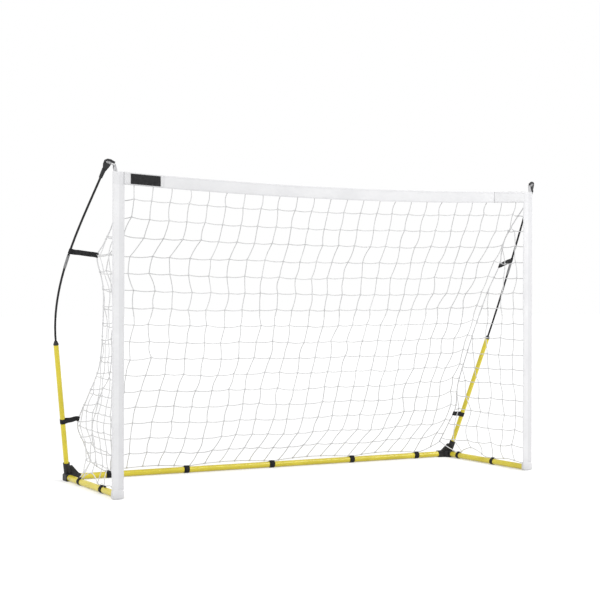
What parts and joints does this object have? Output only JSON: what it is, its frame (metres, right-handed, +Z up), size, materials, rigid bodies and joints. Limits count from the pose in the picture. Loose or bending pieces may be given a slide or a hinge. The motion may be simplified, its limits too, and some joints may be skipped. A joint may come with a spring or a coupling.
{
  "type": "portable football goal",
  "caption": "Portable bow-style football goal: yellow steel ground frame and uprights, sprung black poles, white band mouth and a hanging net.",
  "frame": {"origin": "on the floor, at the middle of the goal's outer box", "axes": "+X to the goal's right seen from the mouth's front (player's view from -Y), +Y from the mouth to the rear bar, +Z up"},
  "size_m": [2.6798, 0.78, 1.5858],
  "materials": {
    "yellow_paint": "glossy powder coat on thin steel tube",
    "black_plastic": "moulded, fine satin grain",
    "fibreglass": "smooth pultruded rod, glossy",
    "aluminium": "drawn ferrule, satin",
    "steel": "zinc plated",
    "white_fabric": "woven polyester, stitched edges",
    "net_twine": "twisted twine",
    "strap_black": "woven hook-and-loop strap",
    "label_cloth": "bare sewn patch"
  },
  "bodies": {
    "ground_frame_and_net": {"corner_hub_left": "black_plastic", "corner_hub_right": "black_plastic", "corner_tab_left": "white_fabric", "corner_tab_right": "white_fabric", "crossbar_band": "white_fabric", "crossbar_label": "label_cloth", "crossbar_patch_left": "white_fabric", "crossbar_patch_right": "white_fabric", "foot_pocket_left": "white_fabric", "foot_pocket_right": "white_fabric", "net_back": "net_twine", "net_edge_cord_left": "net_twine", "net_edge_cord_right": "net_twine", "net_foot_cord": "net_twine", "net_side_left": "net_twine", "net_side_right": "net_twine", "pole_strap_lower_left": "strap_black", "pole_strap_lower_right": "strap_black", "pole_strap_upper_left": "strap_black", "pole_strap_upper_right": "strap_black", "post_band_left": "white_fabric", "post_band_right": "white_fabric", "rear_bar_left": "yellow_paint", "rear_bar_middle": "yellow_paint", "rear_bar_right": "yellow_paint", "rear_coupler_left": "steel", "rear_coupler_right": "steel", "rear_strap_1": "strap_black", "rear_strap_2": "strap_black", "rear_strap_3": "strap_black", "rear_strap_4": "strap_black", "rear_strap_5": "strap_black", "side_bar_left": "yellow_paint", "side_bar_plug_left": "black_plastic", "side_bar_plug_right": "black_plastic", "side_bar_right": "yellow_paint", "side_strap_front_left": "strap_black", "side_strap_front_right": "strap_black", "side_strap_rear_left": "strap_black", "side_strap_rear_right": "strap_black", "snap_spring_rear_left": "steel", "snap_spring_rear_right": "steel", "snap_spring_side_left": "steel", "snap_spring_side_right": "steel"},
    "upright_left": {"upright_tube_left": "yellow_paint", "pole_collar_left": "black_plastic", "pole_lower_left": "fibreglass", "pole_ferrule_left": "aluminium", "pole_upper_left": "fibreglass", "pole_cap_left": "black_plastic"},
    "upright_right": {"upright_tube_right": "yellow_paint", "pole_collar_right": "black_plastic", "pole_lower_right": "fibreglass", "pole_ferrule_right": "aluminium", "pole_upper_right": "fibreglass", "pole_cap_right": "black_plastic"},
    "button_side_left": {"snap_button_side_left": "steel"},
    "button_side_right": {"snap_button_side_right": "steel"},
    "button_rear_left": {"snap_button_rear_left": "steel"},
    "button_rear_right": {"snap_button_rear_right": "steel"}
  },
  "joints": [
    {"name": "upright_left_lift", "type": "slide", "parent": "ground_frame_and_net", "child": "upright_left", "axis": [-0.1793, -0.2784, 0.9436], "range_m": [0, 0.05], "deforming": ["pole_strap_upper_left", "pole_strap_lower_left", "corner_tab_left"]},
    {"name": "upright_right_lift", "type": "slide", "parent": "ground_frame_and_net", "child": "upright_right", "axis": [0.1793, -0.2784, 0.9436], "range_m": [0, 0.05], "deforming": ["pole_strap_upper_right", "pole_strap_lower_right", "corner_tab_right"]},
    {"name": "button_side_left_press", "type": "slide", "parent": "ground_frame_and_net", "child": "button_side_left", "axis": [-1, 0, 0], "range_m": [-0.004, 0], "stiffness_N_per_m": 3000, "springref_m": 0.002, "deforming": ["snap_spring_side_left"]},
    {"name": "button_side_right_press", "type": "slide", "parent": "ground_frame_and_net", "child": "button_side_right", "axis": [1, 0, 0], "range_m": [-0.004, 0], "stiffness_N_per_m": 3000, "springref_m": 0.002, "deforming": ["snap_spring_side_right"]},
    {"name": "button_rear_left_press", "type": "slide", "parent": "ground_frame_and_net", "child": "button_rear_left", "axis": [0, 1, 0], "range_m": [-0.004, 0], "stiffness_N_per_m": 3000, "springref_m": 0.002, "deforming": ["snap_spring_rear_left"]},
    {"name": "button_rear_right_press", "type": "slide", "parent": "ground_frame_and_net", "child": "button_rear_right", "axis": [0, 1, 0], "range_m": [-0.004, 0], "stiffness_N_per_m": 3000, "springref_m": 0.002, "deforming": ["snap_spring_rear_right"]}
  ]
}
